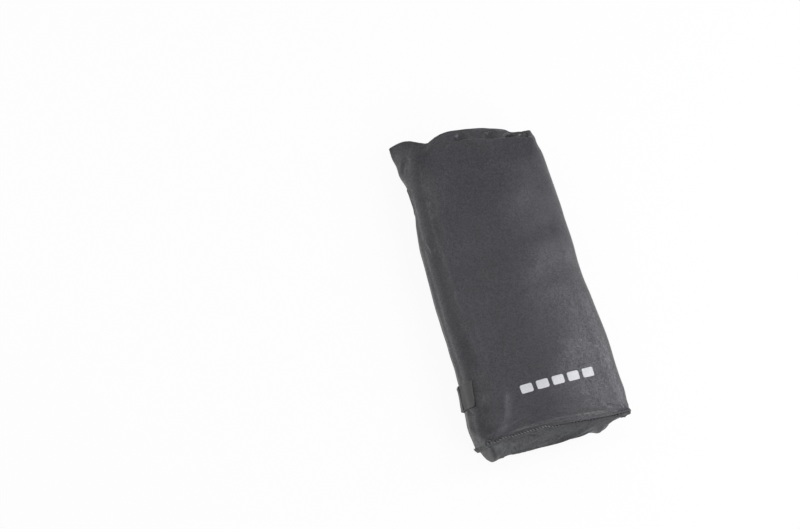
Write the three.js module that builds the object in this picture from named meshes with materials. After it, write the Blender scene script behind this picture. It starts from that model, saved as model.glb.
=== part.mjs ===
// A fork protector: a padded fabric sleeve with a soft closed base, slipped over the ends of a bicycle's fork.
// It lies on its back. X runs across it, Y from the closed base to the open mouth, and Z up from its back to
// its front. The origin is on the surface it lies on, under the middle of the whole. Sizes are in millimetres.
import * as THREE from "three";
import { mergeVertices } from "three/addons/utils/BufferGeometryUtils.js";

// The sleeve's overall size, and the layers of its wall from the outside in
const length = 310;
const halfWidth = 75;
const depth = 54;
const clothThickness = 1;
const foamThickness = 7;
const liningThickness = 0.6;
const clearance = 0.3;
const foamClearance = 0.5;

// How far each part of the wall is swollen or drawn in as the padding pulls it about
const rightSwell = 4;
const leftSwell = 1.5;
const middleLeftDraw = 2;
const waistLeftDraw = 10.5;
const mouthBackLeftDraw = 3;
const mouthFrontLeftDraw = 34;
const mouthRightDraw = 1;
const frontCrown = 3.5;
const gussetCrown = 1.5;

// How far the front and the back are turned in towards the edges of the base and the mouth
const baseFrontTurn = 2;
const baseBackTurn = 4;
const waistFrontTurn = 2;
const foamTopFrontTurn = 5;
const mouthFrontTurn = 11;
const mouthBackTurn = 6;

// Where things are along the sleeve, from its base or from its mouth
const swellFromBase = 28;
const drawFromBase = 90;
const waistFromMouth = 42;
const foamFromMouth = 12;
const foamFromBase = 6;

// Corner radii of the padded body, and of the crisper edges at the base and the mouth
const frontRadius = 21;
const frontRadiusByBase = 15;
const backRadius = 13;
const baseRadius = 5;
const mouthFrontRadius = 8;
const mouthBackRadius = 3;
const innerRadius = 3;

// How far the base seam and the mouth's edge rise above or fall below a straight cut, round the perimeter
const baseRise = { frontLeft: 3.5, frontMiddle: 5.5, frontRight: -2, backRight: 0, backLeft: 2, left: 3 };
const mouthRise = { frontLeft: 1, frontMiddle: 10, frontRight: -8, backRight: -8, backLeft: 15, left: 12 };

// The two bumps that the fork's tips have pushed into the base, and the straight fold between them
const tipSpan = 118;
const tipOffset = -8;
const basePush = 8.5;
const tipPush = 2.5;
const tipReach = 13;
const seamHold = 12;

// The turned hem round the mouth, the tape that binds the base seam, and the seam's pointed front corners
const hemHeight = 5;
const bindingThickness = 1.4;
const bindingAboveSeam = 3;
const bindingBelowSeam = 2.4;
const earLength = 3;
const earSpread = 0.09;

// The two webbing loops sewn to the left side
const webbingWidth = 25;
const webbingThickness = 1.2;
const lowerLoopFromBase = 55;
const upperLoopFromMouth = 56;
const lowerLoop = { reach: 1, slack: 2.8 };
const upperLoop = { reach: 0.6, slack: 0.4 };

// The row of plain marks printed on the front
const markCount = 5;
const markWidth = 12;
const markHeight = 9;
const markSpacing = 16;
const markThickness = 0.3;
const marksFromBase = 45;
const marksOffset = 10;

// The perimeter is counted in sides from the front left corner: front 0 to 1, right to 2, back to 3, left to 4.
// A whole number is the middle of a corner's arc, and each half arc takes up a fixed share of its side.
const FRONT = 0;
const RIGHT = 1;
const BACK = 2;
const LEFT = 3;
const SIDES = 4;
const ARC_SHARE = 0.2;
const ARC_STEPS = 2;
const SIDE_STEPS = [6, 2, 2, 3];
const round = (place) => ((place % SIDES) + SIDES) % SIDES;

// Places along the sleeve, from which its rows are taken
const waist = length - waistFromMouth;
const foamTop = length - foamFromMouth;
const hemBottom = length - hemHeight;

// A value that runs smoothly, and without overshooting, through a list of [place, value] pairs
function through(pairs, place) {
  const next = pairs.findIndex(([at]) => at > place);
  if (next === 0) return pairs[0][1];
  if (next < 0) return pairs[pairs.length - 1][1];
  const slope = (k) => (pairs[k + 1][1] - pairs[k][1]) / (pairs[k + 1][0] - pairs[k][0]);
  const tangent = (k) => {
    if (k === 0 || k === pairs.length - 1) return slope(Math.min(k, pairs.length - 2));
    const [before, after] = [slope(k - 1), slope(k)];
    return before * after <= 0 ? 0 : (2 * before * after) / (before + after);
  };
  const [[from, a], [to, b]] = [pairs[next - 1], pairs[next]];
  const span = to - from;
  const s = (place - from) / span;
  const bend = tangent(next - 1) * span * s * (1 - s) ** 2 - tangent(next) * span * s * s * (1 - s);
  return a + (b - a) * s * s * (3 - 2 * s) + bend;
}

// The outline of the section along the sleeve: how far out its sides are, and how high its front and back
const outline = {
  frontLeft: [
    [0, halfWidth], [swellFromBase, halfWidth + leftSwell], [drawFromBase, halfWidth - middleLeftDraw],
    [length / 2, halfWidth - middleLeftDraw], [waist, halfWidth - waistLeftDraw],
    [foamTop, halfWidth - (waistLeftDraw + mouthFrontLeftDraw) / 2],
    [length, halfWidth - mouthFrontLeftDraw],
  ],
  backLeft: [
    [0, halfWidth], [swellFromBase, halfWidth + leftSwell], [drawFromBase, halfWidth - middleLeftDraw],
    [length / 2, halfWidth - middleLeftDraw], [waist, halfWidth - waistLeftDraw],
    [length, halfWidth - mouthBackLeftDraw],
  ],
  right: [
    [0, halfWidth], [swellFromBase, halfWidth + rightSwell], [waist, halfWidth + rightSwell],
    [length, halfWidth - mouthRightDraw],
  ],
  front: [
    [0, depth - baseFrontTurn], [swellFromBase, depth], [waist, depth - waistFrontTurn],
    [foamTop, depth - foamTopFrontTurn], [length, depth - mouthFrontTurn],
  ],
  back: [[0, baseBackTurn], [swellFromBase / 2, 0], [foamTop, 0], [length, mouthBackTurn]],
  frontRadius: [[0, baseRadius], [swellFromBase / 2, frontRadiusByBase], [swellFromBase * 2, frontRadius],
    [waist, frontRadius], [length, mouthFrontRadius]],
  backRadius: [[0, baseRadius], [swellFromBase / 2, backRadius], [waist, backRadius], [length, mouthBackRadius]],
  swell: [[0, 0], [swellFromBase, 1], [waist, 1], [length, 0.2]],
};
const crowns = [frontCrown, gussetCrown, 0, gussetCrown];

// The four rounded corners of the section at a height, drawn in from the outer face by an inset
function corners(height, inset) {
  const at = (name) => through(outline[name], height);
  const points = [
    new THREE.Vector2(-at("frontLeft"), at("front")),
    new THREE.Vector2(at("right"), at("front")),
    new THREE.Vector2(at("right"), at("back")),
    new THREE.Vector2(-at("backLeft"), at("back")),
  ];
  const radii = [at("frontRadius"), at("frontRadius"), at("backRadius"), at("backRadius")];
  return points.map((point, k) => {
    const before = points[(k + SIDES - 1) % SIDES].clone().sub(point).normalize();
    const after = points[(k + 1) % SIDES].clone().sub(point).normalize();
    const halfAngle = Math.acos(before.dot(after)) / 2;
    const inward = before.clone().add(after).normalize();
    const radius = Math.max(radii[k] - inset, innerRadius);
    const moved = point.clone().addScaledVector(inward, inset / Math.sin(halfAngle));
    return {
      start: moved.clone().addScaledVector(before, radius / Math.tan(halfAngle)),
      end: moved.clone().addScaledVector(after, radius / Math.tan(halfAngle)),
      centre: moved.clone().addScaledVector(inward, radius / Math.sin(halfAngle)),
      turn: Math.PI - 2 * halfAngle,
    };
  });
}

// A point of the section: half of one corner's arc, then the side with its crown, then half of the next arc
function onSection(height, place, inset) {
  const bends = corners(height, inset);
  const side = Math.floor(round(place));
  const share = round(place) - side;
  const [from, to] = [bends[side], bends[(side + 1) % SIDES]];
  const onArc = (bend, part) => bend.start.clone().rotateAround(bend.centre, -bend.turn * part);
  if (share < ARC_SHARE) return onArc(from, 0.5 + (0.5 * share) / ARC_SHARE);
  if (share > 1 - ARC_SHARE) return onArc(to, (0.5 * (share - 1 + ARC_SHARE)) / ARC_SHARE);
  const along = (share - ARC_SHARE) / (1 - 2 * ARC_SHARE);
  const run = to.start.clone().sub(from.end);
  const outward = new THREE.Vector2(-run.y, run.x).normalize();
  const crown = crowns[side] * through(outline.swell, height) * Math.sin(Math.PI * along) ** 2;
  return from.end.clone().addScaledVector(run, along).addScaledVector(outward, crown);
}

// The rise of the base seam and of the mouth's edge at a place round the perimeter
const roundPerimeter = (rise) => [
  [FRONT, rise.frontLeft], [FRONT + 0.42, rise.frontMiddle], [RIGHT - ARC_SHARE, rise.frontRight],
  [RIGHT, rise.frontRight], [BACK, rise.backRight], [LEFT, rise.backLeft], [LEFT + 0.5, rise.left],
  [SIDES, rise.frontLeft],
];
const seamRise = (place) => through(roundPerimeter(baseRise), round(place));
const edgeRise = (place) => through(roundPerimeter(mouthRise), round(place));
const mouthShare = [[0, 0], [length / 2, 0.15], [length, 1]];
const seamShare = [[0, 1], [2 * swellFromBase, 0], [length, 0]];

// A point of the sleeve's wall, an inset in from its outer face
function wallPoint(height, place, inset) {
  const level = THREE.MathUtils.clamp(height, 0, length);
  const p = onSection(level, place, inset);
  const lift = edgeRise(place) * through(mouthShare, level) + seamRise(place) * through(seamShare, level);
  return new THREE.Vector3(p.x, height + lift, p.y);
}

// Places round part of the perimeter, close together at the corners
function places(from, to) {
  const found = [];
  for (let side = Math.floor(from); side < to; side++) {
    const steps = SIDE_STEPS[round(side)];
    for (let k = 0; k < ARC_STEPS; k++) found.push(side + (ARC_SHARE * k) / ARC_STEPS);
    for (let k = 0; k <= steps; k++) found.push(side + ARC_SHARE + ((1 - 2 * ARC_SHARE) * k) / steps);
    for (let k = 1; k < ARC_STEPS; k++) found.push(side + 1 - ARC_SHARE + (ARC_SHARE * k) / ARC_STEPS);
  }
  return to - from === SIDES ? found : [...found, to];
}

// Rows along the sleeve that every layer shares, so that layers lie parallel and never cross. The ends of the
// foam and the edges of the webbing loops are rows, and others fill the space between them.
const ROW_COUNT = 14;
const ROW_GAP = 4;
const loopMiddles = { lower: lowerLoopFromBase, upper: length - upperLoopFromMouth };
const loopEdges = (middle) => [middle - webbingWidth / 2, middle + webbingWidth / 2];
const fixedRows = [0, foamFromBase, foamTop, ...Object.values(loopMiddles).flatMap(loopEdges)];
const fillingRows = Array.from({ length: ROW_COUNT }, (_, k) => {
  return foamFromBase + ((foamTop - foamFromBase) * (k + 1)) / (ROW_COUNT + 1);
}).filter((row) => fixedRows.every((other) => Math.abs(row - other) > ROW_GAP));
const rows = [...fixedRows, ...fillingRows].sort((a, b) => a - b);
const foamRows = rows.filter((row) => row >= foamFromBase);

// A geometry from points and four-sided faces, with coinciding points merged and empty triangles left out
function solid(points, quads) {
  const geometry = new THREE.BufferGeometry().setFromPoints(points);
  geometry.setIndex(quads.flatMap(([a, b, c, d]) => [a, b, c, a, c, d]));
  const merged = mergeVertices(geometry, 1e-4);
  const index = Array.from(merged.index.array);
  const kept = [];
  for (let k = 0; k < index.length; k += 3) {
    const [a, b, c] = index.slice(k, k + 3);
    if (a !== b && b !== c && c !== a) kept.push(a, b, c);
  }
  merged.setIndex(kept);
  merged.computeVertexNormals();
  return merged;
}

// A closed solid between an outer and an inner sheet. A sheet is a list of rows, each a list of points.
function between(outer, inner, isRing) {
  const [last, columns] = [outer.length - 1, outer[0].length];
  const points = [...outer.flat(), ...inner.flat()];
  const at = (sheet, i, j) => (sheet * outer.length + i) * columns + (j % columns);
  const spans = isRing ? columns : columns - 1;
  const quads = [];
  for (let j = 0; j < spans; j++) {
    for (let i = 0; i < last; i++) {
      quads.push([at(0, i, j), at(0, i, j + 1), at(0, i + 1, j + 1), at(0, i + 1, j)]);
      quads.push([at(1, i, j), at(1, i + 1, j), at(1, i + 1, j + 1), at(1, i, j + 1)]);
    }
    quads.push([at(0, 0, j), at(1, 0, j), at(1, 0, j + 1), at(0, 0, j + 1)]);
    quads.push([at(0, last, j), at(0, last, j + 1), at(1, last, j + 1), at(1, last, j)]);
  }
  for (let i = 0; i < last && !isRing; i++) {
    quads.push([at(0, i, 0), at(0, i + 1, 0), at(1, i + 1, 0), at(1, i, 0)]);
    quads.push([at(0, i, spans), at(1, i, spans), at(1, i + 1, spans), at(0, i + 1, spans)]);
  }
  return solid(points, quads);
}

// A row of points with its two ends drawn in along it by half a seam's clearance
function trimmed(points) {
  const toward = (point, next) => point.clone().add(next.clone().sub(point).setLength(clearance));
  const last = points.length - 1;
  return points.map((point, k) => {
    if (k === 0) return toward(point, points[1]);
    if (k === last) return toward(point, points[last - 1]);
    return point;
  });
}

// Part of the sleeve's wall between two insets, from one place round the perimeter to another
function wall({ from, to, heights, outside, inside }) {
  const isRing = to - from === SIDES;
  const sheet = (inset) => heights.map((height) => {
    const points = places(from, to).map((place) => wallPoint(height, place, inset(height, place)));
    return isRing ? points : trimmed(points);
  });
  return between(sheet(outside), sheet(inside), isRing);
}

// Insets of the layers from the outer face
const foamOutside = clothThickness + foamClearance;
const foamInside = foamOutside + foamThickness;
const liningOutside = foamInside + foamClearance;
const flat = (inset) => () => inset;

// How far the base is pushed out, at a place across it
const baseMiddle = (depth - baseFrontTurn + baseBackTurn) / 2;
const bell = (distance, reach) => Math.exp(-((distance / reach) ** 2));
function push(x, z) {
  const beyondTips = Math.max(Math.abs(x - tipOffset) - tipSpan / 2, 0);
  const across = bell(beyondTips, tipReach);
  const up = Math.max(1 - (Math.abs(z - baseMiddle) / (baseMiddle - baseBackTurn)) ** 2, 0);
  const tips = bell(Math.abs(x - tipOffset) - tipSpan / 2, tipReach);
  const fromSide = THREE.MathUtils.clamp((halfWidth - Math.abs(x)) / seamHold, 0, 1);
  return (basePush * across + tipPush * tips) * up * Math.sin((Math.PI * fromSide) / 2);
}

// Rings of points across the base, from the middle out to the wall's foot. The last one or two follow the wall.
const RINGS = 5;
function floorRings(height, insets) {
  const foot = (inset) => (place) => onSection(0, place, inset);
  const centre = new THREE.Vector2(0, baseMiddle);
  const list = places(FRONT, FRONT + SIDES);
  const ring = (inset, share) => list.map((place) => {
    const p = foot(inset)(place).lerp(centre, share);
    const rise = seamRise(place) * (1 - share);
    return new THREE.Vector3(p.x, height + rise - push(p.x, p.y), p.y);
  });
  const found = insets.map((inset) => ring(inset, 0));
  for (let k = 1; k <= RINGS; k++) found.unshift(ring(insets[0], (k / RINGS) ** 0.8));
  return found;
}

const fabric = (color, roughness) => new THREE.MeshStandardMaterial({ color, roughness, metalness: 0 });
const outerCloth = fabric(0x49494d, 0.75);
const baseCloth = fabric(0x434346, 0.7);
const liningCloth = fabric(0x2b2b2e, 0.8);
const foam = fabric(0x77787c, 0.95);
const tape = fabric(0x3f3f42, 0.7);
const webbing = fabric(0x4b4b48, 0.65);
const print = fabric(0xc8c8c8, 0.5);

function piece(name, geometry, material) {
  const mesh = new THREE.Mesh(geometry, material);
  mesh.name = name;
  return mesh;
}

// The outer cloth: one piece wrapped over the front and both sides, and one for the back. At the mouth its edge
// is turned in, so that it is doubled there.
const hemTurn = hemBottom - clothThickness;
const clothRows = [...rows, hemTurn, hemBottom, length];
const clothInside = (height) => (height >= hemBottom ? 2 : 1) * clothThickness;
const outerWrap = () =>
  wall({ from: LEFT - SIDES, to: BACK, heights: clothRows, outside: flat(0), inside: clothInside });
const backPanel = () => wall({ from: BACK, to: LEFT, heights: clothRows, outside: flat(0), inside: clothInside });

// The base, a soft panel across the foot of the wall
const baseTop = -clearance;
const basePanel = () => between(
  floorRings(baseTop - clothThickness, [liningOutside, 0]),
  floorRings(baseTop, [liningOutside, 0]),
  true,
);

// A foam board in each side
const foamBoard = (side) => wall({
  from: side, to: side + 1, heights: foamRows, outside: flat(foamOutside), inside: flat(foamInside),
});

// The lining, a thin inner bag. Above the foam it leans out to the outer cloth, under the hem.
const liningTop = hemTurn - clearance;
const liningLean = [[foamTop + clearance, liningOutside], [liningTop, clothThickness + clearance]];
function lining() {
  const list = places(FRONT, FRONT + SIDES);
  const heights = [...rows.slice(1), foamTop + clearance, (foamTop + liningTop) / 2, liningTop];
  const sheet = (extra) => [
    ...floorRings(extra, [liningOutside + extra]),
    ...heights.map((height) => list.map((place) => {
      return wallPoint(height, place, through(liningLean, height) + extra);
    })),
  ];
  return between(sheet(0), sheet(liningThickness), true);
}

// The tape that binds the seam round the base, drawn out to a point at its two front corners
const ear = (place) => earLength * (bell(round(place + 1) - 1, earSpread) + bell(round(place) - 1, earSpread));
const baseBinding = () => wall({
  from: FRONT,
  to: FRONT + SIDES,
  heights: [-bindingBelowSeam, 0, bindingAboveSeam],
  outside: (height, place) => -clearance - bindingThickness - (height < bindingAboveSeam ? ear(place) : 0),
  inside: flat(-clearance),
});

// A webbing loop: a strip laid across the left side from the back, which stands off it in the middle
function webbingLoop(middle, { reach, slack }) {
  const list = places(LEFT, SIDES).filter((place) => place > LEFT && place <= LEFT + reach);
  const span = list[list.length - 1] - list[0];
  const sheet = (raise) => loopEdges(middle).map((height) => list.map((place) => {
    const standOff = slack * Math.sin((Math.PI * (place - list[0])) / span);
    return wallPoint(height, place, -clearance - standOff - raise);
  }));
  return between(sheet(webbingThickness), sheet(0), false);
}

// A printed mark: a thin patch on the front, at a distance across it and up it
const frontPlace = (x, height) => {
  const bends = corners(height, 0);
  const along = (x - bends[FRONT].end.x) / (bends[RIGHT].start.x - bends[FRONT].end.x);
  return FRONT + ARC_SHARE + (1 - 2 * ARC_SHARE) * along;
};
function printedMark(x) {
  const heights = [marksFromBase - markHeight / 2, marksFromBase + markHeight / 2];
  const across = [x - markWidth / 2, x, x + markWidth / 2];
  const sheet = (raise) => heights.map((height) => across.map((at) => {
    return wallPoint(height, frontPlace(at, height), -clearance - raise);
  }));
  return between(sheet(markThickness), sheet(0), false);
}

const group = new THREE.Group();
group.add(
  piece("outer_wrap", outerWrap(), outerCloth),
  piece("back_panel", backPanel(), outerCloth),
  piece("base_panel", basePanel(), baseCloth),
  piece("base_binding", baseBinding(), tape),
  piece("lining", lining(), liningCloth),
  piece("front_foam", foamBoard(FRONT), foam),
  piece("right_foam", foamBoard(RIGHT), foam),
  piece("back_foam", foamBoard(BACK), foam),
  piece("left_foam", foamBoard(LEFT), foam),
  piece("lower_webbing_loop", webbingLoop(loopMiddles.lower, lowerLoop), webbing),
  piece("upper_webbing_loop", webbingLoop(loopMiddles.upper, upperLoop), webbing),
);
for (let k = 0; k < markCount; k++) {
  const x = marksOffset + markSpacing * (k - (markCount - 1) / 2);
  group.add(piece(`printed_mark_${k + 1}`, printedMark(x), print));
}

// The whole is set down with its lowest point on the surface and its middle over the origin
const box = new THREE.Box3().setFromObject(group);
const centre = box.getCenter(new THREE.Vector3());
group.position.set(-centre.x, -centre.y, -box.min.z);

export default group;
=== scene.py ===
"""A fork protector: a padded dark fabric sleeve lying on its back, seen from above at an angle.

The sleeve is made in its own millimetres (x across, y from the base seam to the mouth, z from the back to the
front) and is then set into the row's frame in metres.
"""
import math
import numpy as np
import bpy
from mathutils import Matrix, Vector


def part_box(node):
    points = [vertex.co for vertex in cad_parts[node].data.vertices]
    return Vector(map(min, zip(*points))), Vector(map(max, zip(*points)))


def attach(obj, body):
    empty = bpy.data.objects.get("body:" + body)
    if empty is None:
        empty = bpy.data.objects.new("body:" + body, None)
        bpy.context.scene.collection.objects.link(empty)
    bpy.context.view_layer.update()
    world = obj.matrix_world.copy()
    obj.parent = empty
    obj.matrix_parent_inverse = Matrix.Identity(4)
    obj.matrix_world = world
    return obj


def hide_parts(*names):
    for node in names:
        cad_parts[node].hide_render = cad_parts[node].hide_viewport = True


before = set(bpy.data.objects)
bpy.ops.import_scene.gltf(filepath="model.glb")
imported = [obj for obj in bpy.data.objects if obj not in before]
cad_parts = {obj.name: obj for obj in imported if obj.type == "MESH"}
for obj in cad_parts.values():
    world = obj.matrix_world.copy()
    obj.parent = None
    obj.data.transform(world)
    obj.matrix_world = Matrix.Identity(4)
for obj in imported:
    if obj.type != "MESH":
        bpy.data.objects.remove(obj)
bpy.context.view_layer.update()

MM = 0.001

# The sleeve's sizes, the same as in the part, but for the two radii of the front left corner at the waist and
# at the mouth, which only the cloth has
LENGTH = 310.0
HALF_WIDTH = 75.0
DEPTH = 54.0
RIGHT_SWELL = 4.0
LEFT_SWELL = 1.5
MIDDLE_LEFT_DRAW = 2.0
WAIST_LEFT_DRAW = 10.5
MOUTH_BACK_LEFT_DRAW = 3.0
MOUTH_FRONT_LEFT_DRAW = 34.0
MOUTH_RIGHT_DRAW = 1.0
GUSSET_CROWN = 1.5
BASE_FRONT_TURN = 2.0
BASE_BACK_TURN = 4.0
WAIST_FRONT_TURN = 2.0
FOAM_TOP_FRONT_TURN = 5.0
MOUTH_FRONT_TURN = 11.0
MOUTH_BACK_TURN = 6.0
SWELL_FROM_BASE = 28.0
DRAW_FROM_BASE = 90.0
WAIST = LENGTH - 42.0
FOAM_TOP = LENGTH - 12.0
FOAM_BOTTOM = 6.0
FRONT_RADIUS = 21.0
FRONT_RADIUS_BY_BASE = 15.0
WAIST_LEFT_RADIUS = 23.0
BACK_RADIUS = 13.0
BASE_RADIUS = 5.0
MOUTH_FRONT_RADIUS = 8.0
MOUTH_LEFT_RADIUS = 26.0
MOUTH_BACK_RADIUS = 3.0
INNER_RADIUS = 3.0
CLOTH = 1.0
FOAM_OUTSIDE = 1.5
FOAM_INSIDE = 8.5
LINING_OUTSIDE = 9.0

# The perimeter is counted in sides from the front left corner: front 0 to 1, right to 2, back to 3, left to 4
SIDES = 4
ARC_SHARE = 0.2
# How far the base seam and the mouth's edge rise or fall, as (place, rise)
BASE_RISE = [(0.0, 3.5), (0.36, 5.5), (0.8, -2.0), (1.0, -2.0), (2.0, 0.0), (3.0, 6.0), (3.5, 5.0),
             (4.0, 3.5)]
MOUTH_RISE = [(0.0, 2.0), (0.05, 1.7), (0.1, 2.9), (0.2, 5.6), (0.25, 7.9), (0.3, 8.6), (0.36, 8.3),
              (0.45, 6.4), (0.55, 3.6), (0.65, -1.6), (0.75, -7.4), (0.8, -8.0), (1.0, -8.6), (2.0, -8.0),
              (3.0, 14.5), (3.3, 15.0), (3.5, 14.2), (3.7, 11.4), (3.8, 8.6), (3.9, 5.2), (4.0, 2.0)]


def through(pairs, places):
    """Values that run smoothly, and without overshooting, through a list of (place, value) pairs."""
    at, values = np.array(pairs, float).T
    slopes = np.diff(values) / np.diff(at)
    product = slopes[:-1] * slopes[1:]
    total = slopes[:-1] + slopes[1:]
    inner = np.where(product > 0, 2 * product / np.where(total == 0, 1, total), 0)
    tangents = np.concatenate([slopes[:1], inner, slopes[-1:]])
    places = np.clip(np.asarray(places, float), at[0], at[-1])
    k = np.clip(np.searchsorted(at, places, side="right") - 1, 0, len(at) - 2)
    span = at[k + 1] - at[k]
    u = (places - at[k]) / span
    ease = u * u * (3 - 2 * u)
    bend = tangents[k] * span * u * (1 - u) ** 2 - tangents[k + 1] * span * u * u * (1 - u)
    return values[k] + (values[k + 1] - values[k]) * ease + bend


def smooth(value, low, high):
    """A share that rises softly from 0 at low to 1 at high."""
    u = np.clip((np.asarray(value, float) - low) / (high - low), 0, 1)
    return u * u * (3 - 2 * u)


def between(value, start, full, fade, end):
    """A share that rises from start to full and falls again from fade to end."""
    return smooth(value, start, full) * (1 - smooth(value, fade, end))


def bell(distance, reach):
    """A soft bump: 1 at no distance, and nearly 0 at twice the reach."""
    return np.exp(-((distance / reach) ** 2))


# The section's sides and corner radii, as (height, size)
LEFT_OUTLINE = [(0, HALF_WIDTH), (SWELL_FROM_BASE, HALF_WIDTH + LEFT_SWELL),
                (DRAW_FROM_BASE, HALF_WIDTH - MIDDLE_LEFT_DRAW), (LENGTH / 2, HALF_WIDTH - MIDDLE_LEFT_DRAW),
                (WAIST, HALF_WIDTH - WAIST_LEFT_DRAW)]
LOW_RADII = [(0, BASE_RADIUS), (SWELL_FROM_BASE / 2, FRONT_RADIUS_BY_BASE),
             (SWELL_FROM_BASE * 2, FRONT_RADIUS)]
OUTLINE = {
    "front_left": LEFT_OUTLINE + [(FOAM_TOP, HALF_WIDTH - (WAIST_LEFT_DRAW + MOUTH_FRONT_LEFT_DRAW) / 2),
                                  (LENGTH, HALF_WIDTH - MOUTH_FRONT_LEFT_DRAW)],
    "back_left": LEFT_OUTLINE + [(LENGTH, HALF_WIDTH - MOUTH_BACK_LEFT_DRAW)],
    "right": [(0, HALF_WIDTH), (SWELL_FROM_BASE, HALF_WIDTH + RIGHT_SWELL), (WAIST, HALF_WIDTH + RIGHT_SWELL),
              (LENGTH, HALF_WIDTH - MOUTH_RIGHT_DRAW)],
    "front": [(0, DEPTH - BASE_FRONT_TURN), (SWELL_FROM_BASE, DEPTH), (WAIST, DEPTH - WAIST_FRONT_TURN),
              (FOAM_TOP, DEPTH - FOAM_TOP_FRONT_TURN), (LENGTH, DEPTH - MOUTH_FRONT_TURN)],
    "back": [(0, BASE_BACK_TURN), (SWELL_FROM_BASE / 2, 0), (FOAM_TOP, 0), (LENGTH, MOUTH_BACK_TURN)],
    "front_radius": LOW_RADII + [(WAIST, FRONT_RADIUS), (LENGTH, MOUTH_FRONT_RADIUS)],
    "left_radius": LOW_RADII + [(WAIST, WAIST_LEFT_RADIUS), (LENGTH, MOUTH_LEFT_RADIUS)],
    "back_radius": [(0, BASE_RADIUS), (SWELL_FROM_BASE / 2, BACK_RADIUS), (WAIST, BACK_RADIUS),
                    (LENGTH, MOUTH_BACK_RADIUS)],
    "swell": [(0, 0), (SWELL_FROM_BASE, 1), (WAIST, 1), (LENGTH, 0.2)],
}
CROWNS = (0.0, GUSSET_CROWN, 0.0, GUSSET_CROWN)
# The front's crown by place: a hollow beside the left corner, its top in the middle, and round to the right
# side. Its share by height follows, on the right and on the left.
FRONT_CROWN = [(-1, 0.0), (-0.25, 0.0), (-0.1, -0.6), (0.0, -1.5), (0.1, -2.4), (0.2, -2.0), (0.25, -1.1),
               (0.3, 0.1), (0.35, 1.6), (0.4, 3.1), (0.45, 4.5), (0.5, 5.4), (0.55, 5.8), (0.6, 5.9),
               (0.7, 4.9), (0.8, 2.4), (0.9, 1.2), (1.0, 0.8), (1.3, 0.4), (1.6, 0.0), (4, 0.0)]
CROWN_SHARE = [(0, 0.7), (12, 0.93), (40, 1), (WAIST, 1), (FOAM_TOP, 0.55), (LENGTH, 0.0)]
LEFT_CROWN_SHARE = [(0, 0.25), (16, 0.8), (40, 1), (220, 1), (286, 0.1), (LENGTH, 0.0)]


def unit(v):
    return v / np.linalg.norm(v)


def corners(height, inset):
    """The section's four rounded corners at a height, drawn in by an inset: where each arc starts and ends,
    its centre and how far it turns."""
    at = {name: float(through(pairs, height)) for name, pairs in OUTLINE.items()}
    points = [np.array([-at["front_left"], at["front"]]), np.array([at["right"], at["front"]]),
              np.array([at["right"], at["back"]]), np.array([-at["back_left"], at["back"]])]
    radii = [at["left_radius"], at["front_radius"], at["back_radius"], at["back_radius"]]
    found = []
    for k, point in enumerate(points):
        before = unit(points[k - 1] - point)
        after = unit(points[(k + 1) % SIDES] - point)
        half_angle = math.acos(float(before @ after)) / 2
        inward = unit(before + after)
        radius = max(radii[k] - inset, INNER_RADIUS)
        moved = point + inward * inset / math.sin(half_angle)
        reach = radius / math.tan(half_angle)
        found.append((moved + before * reach, moved + after * reach,
                      moved + inward * radius / math.sin(half_angle), math.pi - 2 * half_angle))
    return found, at["swell"]


def section(height, places, inset=0.0):
    """Points (x, z) of the section at a height, for places round the perimeter."""
    bends, swell = corners(height, inset)
    wrapped = np.mod(places, SIDES)
    sides = np.floor(wrapped).astype(int)
    shares = wrapped - sides
    found = np.zeros((len(wrapped), 2))
    for k in range(SIDES):
        start, end = bends[k], bends[(k + 1) % SIDES]
        # the second half of this corner's arc, then the first half of the next one's
        for bend, side_end, near in ((start, 0, shares < ARC_SHARE), (end, 1, shares > 1 - ARC_SHARE)):
            mine = (sides == k) & near
            turn = -bend[3] * (0.5 + 0.5 * (shares[mine] - side_end) / ARC_SHARE)
            arm = bend[0] - bend[2]
            found[mine, 0] = bend[2][0] + arm[0] * np.cos(turn) - arm[1] * np.sin(turn)
            found[mine, 1] = bend[2][1] + arm[0] * np.sin(turn) + arm[1] * np.cos(turn)
        mine = (sides == k) & (shares >= ARC_SHARE) & (shares <= 1 - ARC_SHARE)
        along = ((shares[mine] - ARC_SHARE) / (1 - 2 * ARC_SHARE))[:, None]
        run = end[0] - start[1]
        outward = unit(np.array([-run[1], run[0]]))
        crown = CROWNS[k] * swell * np.sin(np.pi * along) ** 2
        found[mine] = start[1] + run * along + outward * crown
    return found


def wall(heights, places, inset=0.0):
    """A grid of points (rows, columns, 3) on the wall. The inset is a number or one number for each row."""
    insets = np.broadcast_to(np.asarray(inset, float), (len(heights),))
    wrapped = np.mod(places, SIDES)
    mouth_rise = through(MOUTH_RISE, wrapped)
    base_rise = through(BASE_RISE, wrapped)
    mouth_share = through([(0, 0), (LENGTH / 2, 0.15), (LENGTH, 1)], heights)
    base_share = through([(0, 1), (2 * SWELL_FROM_BASE, 0), (LENGTH, 0)], heights)
    rows = []
    for height, own_inset, mouth, base in zip(heights, insets, mouth_share, base_share):
        level = min(max(height, 0.0), LENGTH)
        flat = section(level, places, own_inset)
        rise = height + mouth_rise * mouth + base_rise * base
        rows.append(np.column_stack([flat[:, 0], rise, flat[:, 1]]))
    return np.array(rows)


# Where the sleeve's own millimetres lie in the row's frame
BACK_FOOT = 0.0
WIDEST = HALF_WIDTH + RIGHT_SWELL + GUSSET_CROWN
SHIFT = np.array([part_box("outer_wrap")[1].x / MM - WIDEST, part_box("back_panel")[0].y / MM - BACK_FOOT, 0.0])


def in_frame(points):
    return (np.asarray(points, float).reshape(-1, 3) + SHIFT) * MM


def outward(heights, places):
    """The outer face's normals at a grid of heights and places."""
    step = 0.004
    across = wall(heights, places + step) - wall(heights, places - step)
    inside = np.clip(heights, 1.0, LENGTH - 1.0)
    along = wall(inside + 1.0, places) - wall(inside - 1.0, places)
    normals = np.cross(across, along)
    return normals / np.linalg.norm(normals, axis=2)[..., None]


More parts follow.
